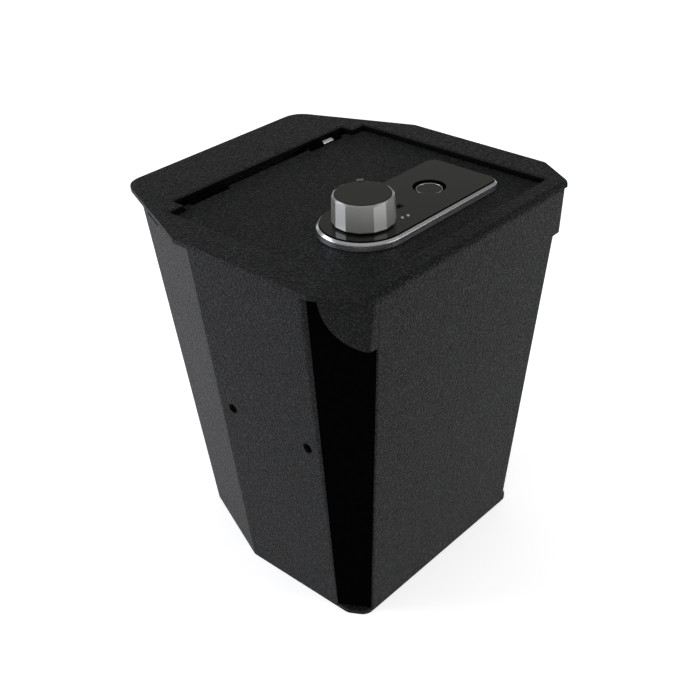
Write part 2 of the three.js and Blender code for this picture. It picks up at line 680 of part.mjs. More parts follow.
function hingeBracket() {
  const leafTop = plateBottom - GAP;
  const leafFront = pivotY + KNUCKLE_RADIUS + SLIDE_GAP;
  const leafBack = leafFront + BODY_LEAF_LENGTH;
  let bracket = box(hingeInnerX, hingeOuterX, leafFront, leafBack, leafTop - LEAF_THICKNESS, leafTop);
  for (const start of [hingeInnerX, hingeOuterX - FIXED_KNUCKLE_LENGTH]) {
    const end = start + FIXED_KNUCKLE_LENGTH;
    bracket = bracket
      .add(box(start, end, pivotY, leafFront + GAP, leafTop - LEAF_THICKNESS, leafTop))
      .add(crossRod(KNUCKLE_RADIUS, start, end, pivotY, pivotZ));
  }
  return bracket.subtract(pinBore());
}

function pinBore() {
  return crossRod(PIN_RADIUS + PIN_BORE_CLEARANCE, 0, FAR, pivotY, pivotZ);
}

function lidLeaf() {
  const start = hingeInnerX + FIXED_KNUCKLE_LENGTH + KNUCKLE_SIDE_GAP;
  const end = start + LID_KNUCKLE_LENGTH;
  return box(start, end, pivotY - LID_LEAF_LENGTH, pivotY, underLid - LEAF_THICKNESS, underLid)
    .add(crossRod(KNUCKLE_RADIUS, start, end, pivotY, pivotZ))
    .subtract(pinBore());
}

function hingePin() {
  return crossRod(PIN_RADIUS, hingeInnerX - GAP, hingeOuterX + GAP, pivotY, pivotZ);
}

function lidPlate() {
  const side = openingHalfWidth - LID_CLEARANCE;
  const front = openingFront + LID_CLEARANCE;
  const back = openingBack - LID_CLEARANCE;
  const notch = notchHalfWidth - LID_CLEARANCE;
  const outline = [[-side, front], [side, front], [side, back], [notch, back], [notch, lidBack],
    [-notch, lidBack], [-notch, back], [-side, back]];
  const radii = [LID_RADIUS, LID_RADIUS, LID_RADIUS, 0.5, 0.5, 0.5, 0.5, LID_RADIUS];
  const relief = box(hingeInnerX - 1, hingeOuterX + 1, pivotY - KNUCKLE_RADIUS - 1, FAR, BELOW, ABOVE);
  return prism(roundCorners(outline, radii), lidBottom, lidTop)
    .subtract(relief)
    .subtract(mirrored(relief))
    .subtract(cylinder(bushRadius() + GAP, lockX, lockY, BELOW, ABOVE))
    .subtract(cylinder(readerPadRadius + GAP, READER_X, lockY, BELOW, ABOVE));
}

// Inverted channel across the lid's underside
function lidRib() {
  const bottom = underLid - RIB_DEPTH;
  const halfLength = seatInnerX - RIB_END_GAP;
  const [front, back] = [ribMiddle - RIB_WIDTH / 2, ribMiddle + RIB_WIDTH / 2];
  return box(-halfLength, halfLength, front, back, bottom, underLid)
    .subtract(box(-FAR, FAR, front + RIB_WALL, back - RIB_WALL, bottom + RIB_WALL, ABOVE));
}

function seatPad() {
  return box(-PAD_WIDTH / 2, PAD_WIDTH / 2, -PAD_LENGTH / 2, PAD_LENGTH / 2, padBottom, underLid);
}

// Lock outline: a half round at the knob's end and square corners at the other
function lockOutline(grow) {
  const radius = FACE_RADIUS + grow;
  const right = FACE_RIGHT + grow;
  const corner = FACE_CORNER + grow;
  const points = [];
  const halfSteps = 4 * ARC_STEPS;
  for (let step = 0; step <= halfSteps; step += 1) {
    const angle = Math.PI / 2 + (Math.PI * step) / halfSteps;
    points.push([lockX + radius * Math.cos(angle), lockY + radius * Math.sin(angle)]);
  }
  for (const [centreY, start] of [[lockY - radius + corner, -Math.PI / 2], [lockY + radius - corner, 0]]) {
    for (let step = 0; step <= ARC_STEPS; step += 1) {
      const angle = start + ((Math.PI / 2) * step) / ARC_STEPS;
      points.push([right - corner + corner * Math.cos(angle), centreY + corner * Math.sin(angle)]);
    }
  }
  return points;
}

function bezel() {
  const top = bezelBottom + BEZEL_HEIGHT;
  const shoulder = top - BEZEL_BEVEL;
  const rim = GAP + BEZEL_LIP;
  const side = rim + BEZEL_BEVEL;
  return loft(lockOutline(side + BEZEL_DRAFT), bezelBottom, lockOutline(side), shoulder)
    .add(loft(lockOutline(side), shoulder, lockOutline(rim), top))
    .subtract(prism(lockOutline(GAP), faceBottom - GAP, ABOVE))
    .subtract(prism(lockOutline(-BEZEL_LEDGE), BELOW, ABOVE));
}

function lockFace() {
  let face = prism(lockOutline(0), faceBottom, faceTop)
    .subtract(cylinder(bushRadius() + GAP, lockX, lockY, BELOW, ABOVE))
    .subtract(cylinder(READER_RADIUS, READER_X, lockY, BELOW, ABOVE, 2 * ROUND_SIDES))
    .subtract(readerDish())
    .subtract(box(socketX - SOCKET_LENGTH / 2 - GAP, socketX + SOCKET_LENGTH / 2 + GAP,
      socketY - SOCKET_WIDTH / 2 - GAP, socketY + SOCKET_WIDTH / 2 + GAP, BELOW, ABOVE));
  for (const [x, y] of LAMP_PLACES) {
    face = face.subtract(cylinder(LAMP_RADIUS + GAP, lockX + x, lockY + y, BELOW, ABOVE, 16));
  }
  return face;
}

function powerSocket() {
  const deep = 2;
  const reachX = SOCKET_LENGTH / 2;
  const reachY = SOCKET_WIDTH / 2;
  const holeX = reachX - SOCKET_WALL;
  const holeY = reachY - SOCKET_WALL;
  return box(socketX - reachX, socketX + reachX, socketY - reachY, socketY + reachY, bezelBottom, faceTop)
    .subtract(box(socketX - holeX, socketX + holeX, socketY - holeY, socketY + holeY, faceTop - deep, ABOVE));
}

function lamp() {
  return cylinder(LAMP_RADIUS, 0, 0, bezelBottom, faceTop + GAP, 16);
}

// Sloping part of the face's round recess, run on a little above the face
function readerDish() {
  const over = GAP;
  const upper = READER_RADIUS + READER_DISH * (1 + over / READER_DROP);
  const height = READER_DROP + over;
  const geometry = new THREE.CylinderGeometry(upper, READER_RADIUS, height, 2 * ROUND_SIDES);
  geometry.rotateX(Math.PI / 2);
  geometry.translate(READER_X, lockY, readerTop + height / 2);
  return solid(geometry);
}

// Ring and pad at the bottom of the face's round recess
function readerRing() {
  return cylinder(READER_RADIUS - GAP, READER_X, lockY, faceBottom, readerTop, 2 * ROUND_SIDES)
    .subtract(cylinder(readerPadRadius + GAP, READER_X, lockY, BELOW, ABOVE, 2 * ROUND_SIDES));
}

function readerPad() {
  return cylinder(readerPadRadius, READER_X, lockY, lidBottom, readerTop - GAP, 2 * ROUND_SIDES);
}

function bushRadius() {
  return SPINDLE_RADIUS + PIN_BORE_CLEARANCE + BUSH_WALL;
}

function spindleBush() {
  const flange = cylinder(bushRadius() + BUSH_FLANGE, lockX, lockY, bezelBottom, bezelBottom + BUSH_FLANGE);
  return cylinder(bushRadius(), lockX, lockY, lidBottom, faceTop - GAP)
    .add(flange)
    .subtract(cylinder(SPINDLE_RADIUS + PIN_BORE_CLEARANCE, lockX, lockY, BELOW, ABOVE));
}

function chassisPlate() {
  return box(-coverHalfWidth + COVER_WALL + SLIDE_GAP, coverHalfWidth - COVER_WALL - SLIDE_GAP,
    coverFront + COVER_WALL + SLIDE_GAP, coverBack - COVER_WALL - SLIDE_GAP, chassisBottom, underLid)
    .subtract(cylinder(SPINDLE_RADIUS + SLIDE_GAP, lockX, lockY, BELOW, ABOVE));
}

// Fourteen-sided knob, hollow below round its hub, with a seat for the cap
function knobRing(radius) {
  const points = [];
  for (let side = 0; side < KNOB_SIDES; side += 1) {
    const angle = radians(INDEX_ANGLE) + (2 * Math.PI * (side + 0.5)) / KNOB_SIDES;
    points.push([lockX + radius * Math.cos(angle), lockY + radius * Math.sin(angle)]);
  }
  return points;
}

function knobShell() {
  const shoulder = knobTop - KNOB_BEVEL_HEIGHT;
  const foot = knobBottom + KNOB_FOOT;
  const hollow = cylinder(KNOB_RADIUS - KNOB_WALL, lockX, lockY, BELOW, knobBottom + KNOB_HOLLOW)
    .subtract(cylinder(KNOB_HUB_RADIUS, lockX, lockY, BELOW, ABOVE));
  return loft(knobRing(KNOB_RADIUS - KNOB_FOOT), knobBottom, knobRing(KNOB_RADIUS), foot)
    .add(loft(knobRing(KNOB_RADIUS), foot, knobRing(KNOB_TOP_RADIUS), shoulder))
    .add(loft(knobRing(KNOB_TOP_RADIUS), shoulder, knobRing(KNOB_TOP_RADIUS - KNOB_BEVEL), knobTop))
    .subtract(hollow)
    .subtract(cylinder(SPINDLE_RADIUS + PIN_BORE_CLEARANCE, lockX, lockY, BELOW,
      knobBottom + KNOB_HOLLOW))
    .subtract(cylinder(capSeat, lockX, lockY, knobTop - CAP_THICKNESS - GAP, ABOVE, 2 * ROUND_SIDES))
    .add(knobIndex());
}

// Pip on the knob's rim
function knobIndex() {
  const sunk = KNOB_BEVEL_HEIGHT + CAP_RIM;
  const geometry = new THREE.BoxGeometry(INDEX_WIDTH, INDEX_LENGTH, INDEX_RISE + sunk);
  geometry.translate(capSeat + CAP_RIM + INDEX_WIDTH / 2, 0, (INDEX_RISE - sunk) / 2);
  geometry.rotateZ(radians(INDEX_ANGLE));
  geometry.translate(lockX, lockY, knobTop);
  return solid(geometry);
}

function knobCap() {
  return cylinder(capSeat - GAP, lockX, lockY, knobTop - CAP_THICKNESS, knobTop + CAP_PROUD,
    2 * ROUND_SIDES);
}

const pinionBottom = carriageBottom - SLIDE_GAP;
const clipThickness = 1.2;

function spindle() {
  return cylinder(SPINDLE_RADIUS, lockX, lockY, pinionBottom - GAP - 2 * clipThickness,
    knobBottom + KNOB_HOLLOW - GAP);
}

function spindleClip() {
  const top = pinionBottom - GAP;
  return cylinder(SPINDLE_RADIUS + 2.5, lockX, lockY, top - clipThickness, top)
    .subtract(cylinder(SPINDLE_RADIUS + PIN_BORE_CLEARANCE, lockX, lockY, BELOW, ABOVE));
}

// Involute pinion with a tooth space facing the rack
function pinion() {
  const pressure = radians(PRESSURE_ANGLE);
  const base = pitchRadius * Math.cos(pressure);
  const tip = pitchRadius + TOOTH_TIP * RACK_MODULE;
  const root = pitchRadius - TOOTH_ROOT * RACK_MODULE;
  const unwind = (radius) => Math.sqrt((radius / base) ** 2 - 1);
  const involute = (radius) => unwind(radius) - Math.atan(unwind(radius));
  const halfTooth = (Math.PI * RACK_MODULE / 2 - BACKLASH / 2) / 2 / pitchRadius + involute(pitchRadius);
  const flankSteps = 4;
  const points = [];
  for (let tooth = 0; tooth < PINION_TEETH; tooth += 1) {
    const middle = (2 * Math.PI * (tooth + 0.5)) / PINION_TEETH;
    const flank = [[root, halfTooth]];
    for (let step = 0; step <= flankSteps; step += 1) {
      const radius = base + ((tip - base) * step) / flankSteps;
      flank.push([radius, halfTooth - involute(radius)]);
    }
    const place = (radius, angle) => [lockX + radius * Math.cos(angle), lockY + radius * Math.sin(angle)];
    flank.forEach(([radius, half]) => points.push(place(radius, middle - half)));
    [...flank].reverse().forEach(([radius, half]) => points.push(place(radius, middle + half)));
  }
  return prism(points, pinionBottom, carriageTop + SLIDE_GAP / 2)
    .subtract(cylinder(SPINDLE_RADIUS + PIN_BORE_CLEARANCE, lockX, lockY, BELOW, ABOVE));
}

// Crossbar, rack and two guided tails: one plate that carries the bolts
function boltCarriage() {
  const rear = boltTip + BOLT_LENGTH;
  const front = rear - CROSSBAR_WIDTH;
  const leftInner = -tailOuter + TAIL_LEFT_WIDTH;
  const rightInner = tailOuter - TAIL_RIGHT_WIDTH;
  const tailEnd = rear + TAIL_LENGTH;
  let plate = box(-tailOuter, tailOuter, front, rear, carriageBottom, carriageTop)
    .add(box(-tailOuter, leftInner, front, tailEnd, carriageBottom, carriageTop))
    .add(box(rightInner, tailOuter, front, tailEnd, carriageBottom, carriageTop))
    .add(prism(rackOutline(front), carriageBottom, carriageTop));
  for (const side of [-1, 1]) {
    plate = plate.subtract(guideSlot(side * (tailOuter - STUD_INSET)));
  }
  return plate.add(stopTooth(leftInner));
}

// Lies behind the plunger at rest, and in front of it once the bolts are out
function stopTooth(x) {
  const back = plungerY - PLUNGER_RADIUS - SLIDE_GAP + boltTravel;
  return box(x - GAP, x + STOP_WIDTH, back - STOP_LENGTH, back, carriageBottom, carriageTop);
}

function guideSlot(x) {
  const radius = STUD_RADIUS + SLIDE_GAP;
  return box(x - radius, x + radius, studY, studY + boltTravel, BELOW, ABOVE)
    .add(cylinder(radius, x, studY, BELOW, ABOVE))
    .add(cylinder(radius, x, studY + boltTravel, BELOW, ABOVE));
}

// Teeth along Y on the pinion's right, one of them centred on the knob's axis
function rackOutline(front) {
  const pitchLine = lockX + pitchRadius;
  const tip = pitchLine - TOOTH_TIP * RACK_MODULE;
  const root = pitchLine + TOOTH_ROOT * RACK_MODULE;
  const back = root + 7;
  const pitch = Math.PI * RACK_MODULE;
  const slope = Math.tan(radians(PRESSURE_ANGLE));
  const halfAtPitch = pitch / 4 - BACKLASH / 4;
  const halfAt = (x) => halfAtPitch + (x - pitchLine) * slope;
  const teethBehind = Math.ceil(boltTravel / pitch) + 2;
  const teethAhead = 2;
  const points = [[back, front], [back, lockY + (teethBehind + 0.5) * pitch]];
  points.push([root, lockY + (teethBehind + 0.5) * pitch]);
  for (let tooth = teethBehind; tooth >= -teethAhead; tooth -= 1) {
    const y = lockY + tooth * pitch;
    points.push([root, y + halfAt(root)], [tip, y + halfAt(tip)], [tip, y - halfAt(tip)],
      [root, y - halfAt(root)]);
  }
  points.push([root, front]);
  return points.reverse();
}

// Latch bolt with a sloped nose
function latchBolt() {
  const [x0, x1] = [boltX - BOLT_WIDTH / 2, boltX + BOLT_WIDTH / 2];
  const tip = boltTip;
  const shape = new THREE.Shape([
    new THREE.Vector2(tip + BOLT_LEAD, boltBottom),
    new THREE.Vector2(tip + BOLT_LENGTH, boltBottom),
    new THREE.Vector2(tip + BOLT_LENGTH, boltTop),
    new THREE.Vector2(tip, boltTop),
    new THREE.Vector2(tip, boltBottom + BOLT_DEPTH / 2),
  ]);
  const geometry = new THREE.ExtrudeGeometry(shape, { depth: x1 - x0, bevelEnabled: false });
  geometry.applyMatrix4(new THREE.Matrix4().makeBasis(
    new THREE.Vector3(0, 1, 0), new THREE.Vector3(0, 0, 1), new THREE.Vector3(1, 0, 0)));
  geometry.translate(x0, 0, 0);
  return solid(geometry);
}

function guideStud(side) {
  const x = side * (tailOuter - STUD_INSET);
  const headTop = carriageBottom - GAP;
  return cylinder(STUD_RADIUS, x, studY, headTop - STUD_HEAD, chassisBottom - GAP)
    .add(cylinder(STUD_HEAD_RADIUS, x, studY, headTop - STUD_HEAD, headTop));
}

const plungerTip = carriageBottom - SLIDE_GAP;

function plunger() {
  return cylinder(PLUNGER_RADIUS, plungerX, plungerY, plungerTip - PLUNGER_LENGTH, plungerTip);
}

function solenoid() {
  return box(plungerX - SOLENOID_WIDTH / 2, plungerX + SOLENOID_WIDTH / 2, plungerY - SOLENOID_DEPTH / 2,
    plungerY + SOLENOID_DEPTH / 2, coverFloor + GAP, plungerTip - SLIDE_GAP)
    .subtract(cylinder(PLUNGER_RADIUS + GAP, plungerX, plungerY, plungerTip - PLUNGER_LENGTH - GAP, ABOVE));
}

// Battery tray and what follows its size
const trayHalfWidth = (CELL_COUNT * CELL_PITCH) / 2 + TRAY_WALL;
const trayHalfLength = CELL_LENGTH / 2 + CELL_NUB + TRAY_WALL;
const cellZ = coverFloor + GAP + CELL_RADIUS + GAP;
const trayTop = cellZ + CELL_RADIUS + GAP + TRAY_WALL;
const doorTop = coverBottom - GAP;
const doorBottom = doorTop - DOOR_THICKNESS;
const doorHalfWidth = trayHalfWidth + DOOR_MARGIN;
const doorHalfLength = trayHalfLength + 1;

function batteryTray() {
  const bottom = coverFloor + GAP;
  let tray = box(TRAY_X - trayHalfWidth, TRAY_X + trayHalfWidth, trayY - trayHalfLength,
    trayY + trayHalfLength, bottom, trayTop)
    .subtract(box(TRAY_X - trayHalfWidth + TRAY_WALL, TRAY_X + trayHalfWidth - TRAY_WALL,
      trayY - trayHalfLength + TRAY_WALL, trayY + trayHalfLength - TRAY_WALL, BELOW, trayTop - TRAY_WALL));
  for (const x of [boardLeft() + 5, boardLeft() + BOARD_WIDTH - 5]) {
    tray = tray.add(cylinder(2.5, x, boardMiddle(), trayTop - GAP, trayTop + BOARD_POST));
  }
  return tray;
}

function boardLeft() {
  return TRAY_X - trayHalfWidth;
}

function boardMiddle() {
  return trayY + trayHalfLength - BOARD_LENGTH / 2;
}

function circuitBoard() {
  const left = boardLeft();
  const back = boardMiddle() + BOARD_LENGTH / 2;
  const front = back - BOARD_LENGTH;
  const bottom = trayTop + BOARD_POST + GAP;
  const top = bottom + BOARD_THICKNESS;
  let board = box(left, left + BOARD_WIDTH, front, back, bottom, top);
  for (const [x, y, width, length, rise] of BOARD_BLOCKS) {
    board = board.add(box(left + x, left + x + width, front + y, front + y + length, top - GAP, top + rise));
  }
  return board;
}

function cell() {
  const profile = [
    [0, 0],
    [CELL_RADIUS, 0],
    [CELL_RADIUS, CELL_LENGTH - CELL_NUB],
    [CELL_NUB_RADIUS, CELL_LENGTH - CELL_NUB],
    [CELL_NUB_RADIUS, CELL_LENGTH],
    [0, CELL_LENGTH],
  ].map(([radius, y]) => new THREE.Vector2(radius, y - CELL_LENGTH / 2));
  return new THREE.LatheGeometry(profile, ROUND_SIDES / 2);
}

function batteryDoor() {
  let door = box(TRAY_X - doorHalfWidth, TRAY_X + doorHalfWidth, trayY - doorHalfLength,
    trayY + doorHalfLength, doorBottom, doorTop);
  const ridgeHalf = 10;
  for (const step of [0, 1, 2]) {
    const y = trayY + doorHalfLength - 8 - 3 * step;
    door = door.add(box(TRAY_X - ridgeHalf, TRAY_X + ridgeHalf, y - 0.7, y + 0.7, doorBottom - 0.8, doorTop));
  }
  return door;
}

// Box that closes the works, with a battery opening, its door rails and four screw tabs
function lockCover() {
  const inside = [-coverHalfWidth + COVER_WALL, coverHalfWidth - COVER_WALL,
    coverFront + COVER_WALL, coverBack - COVER_WALL];
  const [x0, x1] = boltWindow(WINDOW_MARGIN);
  const window = box(x0, x1, -FAR, coverFront + 2 * COVER_WALL, boltBottom - WINDOW_MARGIN, boltTop + GAP);
  let cover = box(-coverHalfWidth, coverHalfWidth, coverFront, coverBack, coverBottom, underLid)
    .subtract(box(...inside, coverFloor, ABOVE))
    .subtract(window)
    .subtract(mirrored(window))
    .subtract(box(TRAY_X - trayHalfWidth + TRAY_WALL, TRAY_X + trayHalfWidth - TRAY_WALL,
      trayY - trayHalfLength + TRAY_WALL, trayY + trayHalfLength - TRAY_WALL, BELOW, coverFloor + GAP));
  for (const side of [-1, 1]) {
    cover = cover.add(doorRail(side));
  }
  for (const [x, y] of tabPlaces()) {
    const inner = Math.sign(x) * (coverHalfWidth - COVER_WALL / 2);
    const outer = Math.sign(x) * (coverHalfWidth + TAB_LENGTH);
    cover = cover
      .add(box(Math.min(inner, outer), Math.max(inner, outer), y - TAB_WIDTH / 2, y + TAB_WIDTH / 2,
        underLid - COVER_WALL, underLid))
      .subtract(cylinder(SCREW_RADIUS + GAP, x, y, BELOW, ABOVE, 16));
  }
  return cover;
}

function doorRail(side) {
  const edge = TRAY_X + side * (doorHalfWidth + GAP);
  const outer = edge + side * RAIL_WIDTH;
  const lip = edge - side * (DOOR_MARGIN - GAP);
  const lipTop = doorBottom - GAP;
  const [y0, y1] = [trayY - doorHalfLength, trayY + doorHalfLength];
  return box(Math.min(edge, outer), Math.max(edge, outer), y0, y1, lipTop - RAIL_LIP, coverBottom + GAP)
    .add(box(Math.min(lip, outer), Math.max(lip, outer), y0, y1, lipTop - RAIL_LIP, lipTop));
}

function tabPlaces() {
  const x = coverHalfWidth + TAB_LENGTH / 2;
  const [front, back] = [coverFront + TAB_WIDTH, coverBack - TAB_WIDTH];
  return [[-x, front], [x, front], [-x, back], [x, back]];
}

function coverScrew() {
  const headTop = underLid - COVER_WALL - GAP;
  return cylinder(SCREW_RADIUS, 0, 0, headTop - SCREW_HEAD, underLid, 16)
    .add(cylinder(SCREW_HEAD_RADIUS, 0, 0, headTop - SCREW_HEAD, headTop, 16));
}

// The assembly: one group for each piece that moves on its own
function mesh(name, geometry, material) {
  const node = new THREE.Mesh(geometry, material);
  node.name = name;
  return node;
}

const safe = new THREE.Group();
const body = new THREE.Group();
const lid = new THREE.Group();
const knob = new THREE.Group();
const bolts = new THREE.Group();
const blocker = new THREE.Group();
const door = new THREE.Group();
safe.add(body, lid);
lid.add(knob, bolts, blocker, door);

body.add(mesh('top_shell', geometryOf(topShell()), texturedBlack));
body.add(mesh('wrap_shell', geometryOf(wrapShell()), texturedBlack));
body.add(mesh('base_plate', geometryOf(basePlate()), texturedBlack));
body.add(mesh('lid_seat', geometryOf(lidSeat()), texturedBlack));
body.add(mesh('strike_plate', geometryOf(strikePlate()), zincSteel));
body.add(mesh('floor_mat', geometryOf(floorMat()), feltGrey));

const post = cornerPost();
const bracket = hingeBracket();
const pin = hingePin();
const leaf = lidLeaf();
for (const [side, place] of [['right', (piece) => piece], ['left', mirrored]]) {
  body.add(mesh(`corner_post_${side}`, geometryOf(place(post)), smoothBlack));
  body.add(mesh(`hinge_bracket_${side}`, geometryOf(place(bracket)), texturedBlack));
  body.add(mesh(`hinge_pin_${side}`, geometryOf(place(pin)), pinSteel));
  lid.add(mesh(`hinge_leaf_${side}`, geometryOf(place(leaf)), texturedBlack));
  bolts.add(mesh(`latch_bolt_${side}`, geometryOf(place(latchBolt())), zincSteel));
}

const padGeometry = geometryOf(seatPad());
const padX = seatInnerX + PAD_WIDTH / 2 + GAP;
const padFront = (coverFront + coverBack) / 2; // between the cover's screw tabs
const padBack = seatInnerBack - PAD_INSET;
[[-padX, padFront], [padX, padFront], [-padX, padBack], [padX, padBack]].forEach(([x, y], i) => {
  const pad = mesh(`seat_pad_${i + 1}`, padGeometry, rubberBlack);
  pad.position.set(x, y, 0);
  body.add(pad);
});

lid.add(mesh('lid_plate', geometryOf(lidPlate()), texturedBlack));
lid.add(mesh('lid_rib', geometryOf(lidRib()), texturedBlack));
lid.add(mesh('lock_bezel', geometryOf(bezel()), satinSilver));
lid.add(mesh('lock_face', geometryOf(lockFace()), glossBlack));
lid.add(mesh('power_socket', geometryOf(powerSocket()), mattBlack));
lid.add(mesh('reader_ring', geometryOf(readerRing()), satinSilver));
lid.add(mesh('reader_pad', geometryOf(readerPad()), glossBlack));
lid.add(mesh('spindle_bush', geometryOf(spindleBush()), brassYellow));
lid.add(mesh('chassis_plate', geometryOf(chassisPlate()), zincSteel));
lid.add(mesh('guide_stud_left', geometryOf(guideStud(-1)), zincSteel));
lid.add(mesh('guide_stud_right', geometryOf(guideStud(1)), zincSteel));
lid.add(mesh('solenoid', geometryOf(solenoid()), zincSteel));
lid.add(mesh('battery_tray', geometryOf(batteryTray()), mattBlack));
lid.add(mesh('circuit_board', geometryOf(circuitBoard()), boardGreen));
lid.add(mesh('lock_cover', geometryOf(lockCover()), texturedBlack));

const lampGeometry = geometryOf(lamp());
LAMP_PLACES.forEach(([x, y], i) => {
  const node = mesh(`status_lamp_${i + 1}`, lampGeometry, lampWhite);
  node.position.set(lockX + x, lockY + y, 0);
  lid.add(node);
});

const screwGeometry = geometryOf(coverScrew());
tabPlaces().forEach(([x, y], i) => {
  const screw = mesh(`cover_screw_${i + 1}`, screwGeometry, zincSteel);
  screw.position.set(x, y, 0);
  lid.add(screw);
});

const cellGeometry = cell();
for (let i = 0; i < CELL_COUNT; i += 1) {
  const node = mesh(`battery_${i + 1}`, cellGeometry, cellBlue);
  node.position.set(TRAY_X + (i - (CELL_COUNT - 1) / 2) * CELL_PITCH, trayY, cellZ);
  node.rotation.z = i % 2 ? Math.PI : 0;
  lid.add(node);
}

knob.add(mesh('knob_shell', geometryOf(knobShell()), knobChrome));
knob.add(mesh('knob_cap', geometryOf(knobCap()), glossBlack));
knob.add(mesh('spindle', geometryOf(spindle()), zincSteel));
knob.add(mesh('spindle_clip', geometryOf(spindleClip()), zincSteel));
knob.add(mesh('pinion', geometryOf(pinion()), zincSteel));
bolts.add(mesh('bolt_carriage', geometryOf(boltCarriage()), zincSteel));
blocker.add(mesh('solenoid_plunger', geometryOf(plunger()), pinSteel));
door.add(mesh('battery_door', geometryOf(batteryDoor()), mattBlack));

export default safe;
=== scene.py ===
"""Looks of the console safe: textured black steel, a glossy lock panel in a silver bezel, a faceted
silver knob, plated works under the lid. Metres, in the part's own frame."""

import json
import math

import bmesh
import bpy
from mathutils import Matrix, Vector


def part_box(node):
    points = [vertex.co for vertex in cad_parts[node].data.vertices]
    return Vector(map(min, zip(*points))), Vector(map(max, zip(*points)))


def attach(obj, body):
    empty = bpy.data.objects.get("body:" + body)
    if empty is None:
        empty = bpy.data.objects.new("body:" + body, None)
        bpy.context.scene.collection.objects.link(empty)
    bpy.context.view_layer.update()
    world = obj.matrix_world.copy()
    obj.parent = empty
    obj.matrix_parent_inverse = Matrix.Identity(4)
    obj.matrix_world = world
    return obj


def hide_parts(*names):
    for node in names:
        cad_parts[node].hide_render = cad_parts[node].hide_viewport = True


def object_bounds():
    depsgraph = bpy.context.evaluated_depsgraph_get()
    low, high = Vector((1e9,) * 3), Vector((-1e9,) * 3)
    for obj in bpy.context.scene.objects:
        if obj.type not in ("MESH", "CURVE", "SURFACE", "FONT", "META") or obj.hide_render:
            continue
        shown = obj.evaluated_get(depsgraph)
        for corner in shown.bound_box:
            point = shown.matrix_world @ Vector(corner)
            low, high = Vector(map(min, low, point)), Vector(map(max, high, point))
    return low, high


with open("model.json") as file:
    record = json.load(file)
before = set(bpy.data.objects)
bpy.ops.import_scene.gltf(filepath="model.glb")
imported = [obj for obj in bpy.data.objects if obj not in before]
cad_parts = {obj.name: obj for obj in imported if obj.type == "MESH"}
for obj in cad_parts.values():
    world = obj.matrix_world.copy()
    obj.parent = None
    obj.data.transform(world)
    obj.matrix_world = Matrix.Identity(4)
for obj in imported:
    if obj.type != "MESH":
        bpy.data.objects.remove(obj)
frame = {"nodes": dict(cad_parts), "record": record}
cad_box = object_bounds()
nodes = frame["nodes"]
body_of = {
    node: body
    for body, members in frame["record"]["behaviour"]["bodies"].items()
    for node in members
}
slot_of = {entry["node"]: entry["material_slot"] for entry in frame["record"]["subparts"]}

MM = 0.001

# Camera: its place, and the directions of its picture's right and up
CAMERA_PLACE = (-0.46121, -0.4371, 0.53441)
CAMERA_RIGHT = (0.6667, -0.7446, -0.0324)
CAMERA_UP = (0.4181, 0.3376, 0.8433)
LENS = 58.07  # millimetres
SENSOR_WIDTH = 36

# Floor and light
FLOOR_SIZE = 24
FLOOR_CELLS = 8
FLOOR_COLOR = (0.82, 0.82, 0.82)
FLOOR_GLOW = 0.6
WHITE = (1, 1, 1)
WORLD_COLOR = (0.97, 0.98, 1)
WORLD_LIGHT = 0.5
ROOM_DIM = (0.27, 0.28, 0.25)
ROOM_CEILING = (0.5, 0.5, 0.5)
# Height of a direction, as the sine of its elevation, and the room's colour there
ROOM_BANDS = [(0.0, WHITE), (0.08, WHITE), (0.2, ROOM_DIM), (0.6, ROOM_DIM), (0.9, ROOM_CEILING)]
LIGHT_TARGET = (0, 0, 0.18)
LIGHTS = {
    "left_panel": {"place": (-0.95, 1.2, 0.75), "width": 1.1, "watts": 15, "color": (0.9, 0.91, 1)},
    "right_panel": {"place": (0.65, -1.35, 0.8), "width": 1.0, "watts": 6.8, "color": WHITE},
}

# Edges of the pieces
WELD = 2e-6  # corners closer than this are one
FLAT_ANGLE = 0.6  # degrees between faces that are one flat
SHARP_ANGLE = 28  # degrees; edges that turn more than this are rounded
FACET_ANGLE = 18  # the same on the bezel and the knob
FLAT_WEIGHT = 100  # how much a large flat keeps its own shading
BROAD_EDGE = 0.6 * MM
FINE_EDGE = 0.4 * MM
SHEET_EDGES = {
    "top_shell": BROAD_EDGE,
    "wrap_shell": BROAD_EDGE,
    "lid_plate": BROAD_EDGE,
    "corner_post_left": FINE_EDGE,
    "corner_post_right": FINE_EDGE,
    "base_plate": FINE_EDGE,
    "lid_seat": FINE_EDGE,
    "lid_rib": FINE_EDGE,
    "lock_cover": FINE_EDGE,
}
BEZEL_EDGE = 0.5 * MM
FACE_EDGE = 0.1 * MM
RING_EDGE = 0.28 * MM
KNOB_EDGE = 0.15 * MM
MAT_EDGE = 1.4 * MM

# Box that holds the cut edges of the flange's opening, which take painted shade
OPENING_GAP = 1.6 * MM  # past the lid at its sides and front
NOTCH_DEPTH = 5.6 * MM  # past the lid's rear, with the notches for the hinges
CUT_BELOW = 0.5 * MM  # from the lid's top down
CUT_ABOVE = 0.1 * MM  # from the flange's top down

# Faces that take painted shade: the height of their normal is less than this
CUT_STEEPNESS = 0.5
FACE_STEEPNESS = 0.97  # on the lock face: its sides, holes and sloping dish, which take painted shade


# Studio

def make_camera():
    data = bpy.data.cameras.new("camera")
    data.lens = LENS
    data.sensor_width = SENSOR_WIDTH
    camera = bpy.data.objects.new("camera", data)
    right = Vector(CAMERA_RIGHT).normalized()
    back = right.cross(Vector(CAMERA_UP)).normalized()
    up = back.cross(right)
    turn = Matrix((right, up, back)).transposed()
    camera.matrix_world = Matrix.Translation(CAMERA_PLACE) @ turn.to_4x4()
    bpy.context.scene.collection.objects.link(camera)
    bpy.context.scene.camera = camera


